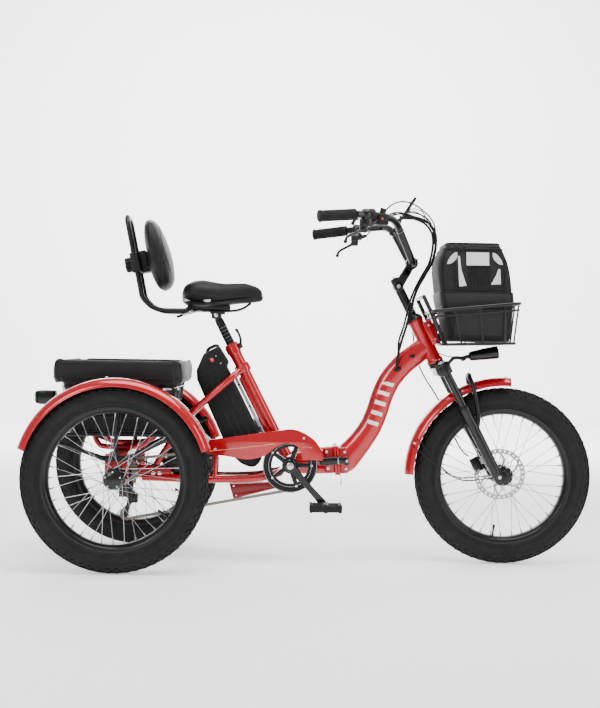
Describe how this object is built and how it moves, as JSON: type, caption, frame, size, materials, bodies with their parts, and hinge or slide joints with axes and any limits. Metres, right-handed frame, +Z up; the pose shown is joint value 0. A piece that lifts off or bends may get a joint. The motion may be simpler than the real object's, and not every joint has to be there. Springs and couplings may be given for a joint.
{
  "type": "tricycle",
  "caption": "Folding electric adult tricycle with fat tyres, step-through curved frame, rear cargo basket, front pet carrier and backrest saddle.",
  "frame": {"origin": "on the ground under the middle of the overall length and width", "axes": "+X forwards (rear wheels to front wheel), +Y to the rider's left, +Z up"},
  "size_m": [1.732, 0.732, 1.1443],
  "materials": {
    "red_paint": "deep gloss red enamel over steel tube, clear-coated",
    "deep_red_paint": "dark red satin enamel",
    "black_paint": "satin black powder coat",
    "rim_black": "black anodised alloy",
    "tyre_rubber": "black tread rubber with slightly dusty shoulders",
    "hub_silver": "bright stainless spokes and alloy hub",
    "rotor_steel": "ground steel",
    "chain_steel": "oiled dark steel",
    "lever_steel": "zinc-plated wire",
    "crank_black": "black anodised crank with silver edges",
    "black_plastic": "fine-textured black moulding",
    "gloss_black": "polished black moulding",
    "grip_rubber": "ribbed black rubber",
    "cable_rubber": "black cable jacket",
    "saddle_vinyl": "grained black vinyl with sewn seams",
    "bag_fabric": "black woven polyester with piping",
    "liner_fabric": "padded black nylon with a reflective strip",
    "wire_black": "black dip-coated wire",
    "button_red": "red translucent cap",
    "lamp_red": "black housing with a red lens",
    "display_glass": "dark hard-coated screen in a black case",
    "rail_alloy": "grey extruded alloy"
  },
  "bodies": {
    "rear_frame": {"seat_tube": "red_paint", "main_beam": "red_paint", "seat_stays": "red_paint", "rear_subframe": "red_paint", "rack_frame": "red_paint", "rear_basket": "wire_black", "basket_liner": "liner_fabric", "right_rear_fender": "red_paint", "left_rear_fender": "red_paint", "tail_light": "lamp_red", "battery_rail": "rail_alloy", "chain_guard": "red_paint", "controller_box": "deep_red_paint", "drive_motor": "black_paint", "chain": "chain_steel", "derailleur": "black_paint"},
    "front_frame": {"front_frame": "red_paint", "front_basket": "wire_black", "pet_carrier": "bag_fabric"},
    "fold_latch": {"fold_latch": "gloss_black"},
    "steering": {"fork_crown": "black_paint", "handlepost": "black_paint"},
    "headlight": {"headlight": "gloss_black"},
    "fork_lower": {"fork_lowers": "black_paint", "front_fender": "red_paint", "brake_caliper": "black_paint"},
    "front_wheel": {"front_tyre": "tyre_rubber", "front_rim": "rim_black", "front_hub": "hub_silver", "brake_rotor": "rotor_steel"},
    "right_wheel": {"right_rear_tyre": "tyre_rubber", "right_rear_rim": "rim_black", "right_rear_hub": "hub_silver"},
    "left_wheel": {"left_rear_tyre": "tyre_rubber", "left_rear_rim": "rim_black", "left_rear_hub": "hub_silver"},
    "crank": {"crankset": "crank_black"},
    "right_pedal": {"right_pedal": "black_plastic"},
    "left_pedal": {"left_pedal": "black_plastic"},
    "cassette": {"cassette": "hub_silver"},
    "seat_post": {"seat_post": "black_paint"},
    "saddle": {"saddle": "saddle_vinyl", "backrest_frame": "black_paint"},
    "seat_lever": {"seat_lever": "black_paint"},
    "slide_lever": {"slide_lever": "lever_steel"},
    "backrest": {"backrest_clamp": "black_paint", "backrest_pad": "saddle_vinyl"},
    "backrest_knob": {"backrest_knob": "black_plastic"},
    "battery": {"battery": "black_plastic"},
    "power_button": {"power_button": "button_red"},
    "handlebar": {"stem_arm": "black_paint", "handlebar": "black_paint", "right_grip": "grip_rubber", "left_grip": "grip_rubber", "cable_loom": "cable_rubber"},
    "right_brake_lever": {"right_brake_lever": "black_paint"},
    "left_brake_lever": {"left_brake_lever": "black_paint"},
    "throttle": {"throttle": "black_plastic"},
    "shifter": {"shifter": "black_plastic"},
    "display": {"display": "display_glass"}
  },
  "joints": [
    {"name": "frame_fold", "type": "hinge", "parent": "rear_frame", "child": "front_frame", "pos_m": [0.0745, 0.05, 0.3145], "axis": [-0.0906, 0, 0.9959], "range_deg": [0, 115]},
    {"name": "latch_lever", "type": "hinge", "parent": "front_frame", "child": "fold_latch", "pos_m": [0.1045, -0.0455, 0.3145], "axis": [-0.0906, 0, 0.9959], "range_deg": [0, 110]},
    {"name": "steering", "type": "hinge", "parent": "front_frame", "child": "steering", "pos_m": [0.3788, 0, 0.6254], "axis": [-0.4571, 0, 0.8894], "range_deg": [-45, 45], "deforming": ["cable_loom"]},
    {"name": "fork_slide", "type": "slide", "parent": "steering", "child": "fork_lower", "axis": [-0.4571, 0, 0.8894], "range_m": [0, 0.03], "stiffness_N_per_m": 20000, "springref_m": -0.02},
    {"name": "front_wheel_spin", "type": "hinge", "parent": "fork_lower", "child": "front_wheel", "pos_m": [0.592, 0, 0.274], "axis": [0, 1, 0], "continuous": true},
    {"name": "right_wheel_spin", "type": "hinge", "parent": "rear_frame", "child": "right_wheel", "pos_m": [-0.58, -0.32, 0.274], "axis": [0, 1, 0], "continuous": true},
    {"name": "left_wheel_spin", "type": "hinge", "parent": "rear_frame", "child": "left_wheel", "pos_m": [-0.58, 0.32, 0.274], "axis": [0, 1, 0], "continuous": true},
    {"name": "crank_spin", "type": "hinge", "parent": "rear_frame", "child": "crank", "pos_m": [-0.0708, 0, 0.3017], "axis": [0, 1, 0], "continuous": true},
    {"name": "right_pedal_spin", "type": "hinge", "parent": "crank", "child": "right_pedal", "pos_m": [0.03663, 0, 0.18313], "axis": [0, 1, 0], "continuous": true},
    {"name": "left_pedal_spin", "type": "hinge", "parent": "crank", "child": "left_pedal", "pos_m": [-0.17823, 0, 0.42027], "axis": [0, 1, 0], "continuous": true},
    {"name": "cassette_spin", "type": "hinge", "parent": "rear_frame", "child": "cassette", "pos_m": [-0.58, 0, 0.274], "axis": [0, 1, 0], "continuous": true},
    {"name": "seat_post_slide", "type": "slide", "parent": "rear_frame", "child": "seat_post", "axis": [-0.4579, 0, 0.889], "range_m": [0, 0.12]},
    {"name": "saddle_slide", "type": "slide", "parent": "seat_post", "child": "saddle", "axis": [1, 0, 0], "range_m": [-0.03, 0.03]},
    {"name": "seat_lever", "type": "hinge", "parent": "rear_frame", "child": "seat_lever", "pos_m": [-0.22995, 0, 0.66967], "axis": [0, 1, 0], "range_deg": [0, 100]},
    {"name": "slide_lever", "type": "hinge", "parent": "saddle", "child": "slide_lever", "pos_m": [-0.36, -0.066, 0.77], "axis": [0, 1, 0], "range_deg": [0, 18], "stiffness_Nm_per_rad": 0.5, "springref_deg": -11.46},
    {"name": "backrest_slide", "type": "slide", "parent": "saddle", "child": "backrest", "axis": [-0.2045, 0, 0.9789], "range_m": [-0.03, 0.03]},
    {"name": "backrest_knob", "type": "hinge", "parent": "backrest", "child": "backrest_knob", "pos_m": [-0.57168, 0, 0.91493], "axis": [0.9789, 0, 0.2045], "range_deg": [-180, 180]},
    {"name": "battery_slide", "type": "slide", "parent": "rear_frame", "child": "battery", "axis": [-0.4579, 0, 0.889], "range_m": [0, 0.06]},
    {"name": "power_button", "type": "slide", "parent": "battery", "child": "power_button", "axis": [0, 1, 0], "range_m": [0, 0.002], "stiffness_N_per_m": 300, "springref_m": -0.002},
    {"name": "stem_tilt", "type": "hinge", "parent": "steering", "child": "handlebar", "pos_m": [0.25904, 0, 0.85843], "axis": [0, 1, 0], "range_deg": [-15, 15]},
    {"name": "right_brake_lever", "type": "hinge", "parent": "handlebar", "child": "right_brake_lever", "pos_m": [0.133, -0.247, 1.015], "axis": [-0.3098, 0.855, -0.4159], "range_deg": [0, 12], "stiffness_Nm_per_rad": 1, "springref_deg": -11.46},
    {"name": "left_brake_lever", "type": "hinge", "parent": "handlebar", "child": "left_brake_lever", "pos_m": [0.133, 0.247, 1.015], "axis": [0.3098, 0.855, 0.4159], "range_deg": [0, 12], "stiffness_Nm_per_rad": 1, "springref_deg": -11.46},
    {"name": "throttle", "type": "hinge", "parent": "handlebar", "child": "throttle", "pos_m": [0.118, -0.23, 1.046], "axis": [-0.9202, -0.3797, -0.0949], "range_deg": [0, 12], "stiffness_Nm_per_rad": 0.3, "springref_deg": -11.46},
    {"name": "shifter", "type": "hinge", "parent": "handlebar", "child": "shifter", "pos_m": [0.188, -0.188, 1.024], "axis": [0, 0, 1], "range_deg": [-8, 8], "stiffness_Nm_per_rad": 0.3},
    {"name": "display_tilt", "type": "hinge", "parent": "handlebar", "child": "display", "pos_m": [0.27, 0.055, 1.08], "axis": [0, 1, 0], "range_deg": [-10, 10]},
    {"name": "headlight_tilt", "type": "hinge", "parent": "steering", "child": "headlight", "pos_m": [0.47789, 0, 0.6426], "axis": [0, 1, 0], "range_deg": [-8, 8]}
  ],
  "couplings": [
    {"joint": "cassette_spin", "follows": "crank_spin", "ratio": 2.0694}
  ]
}
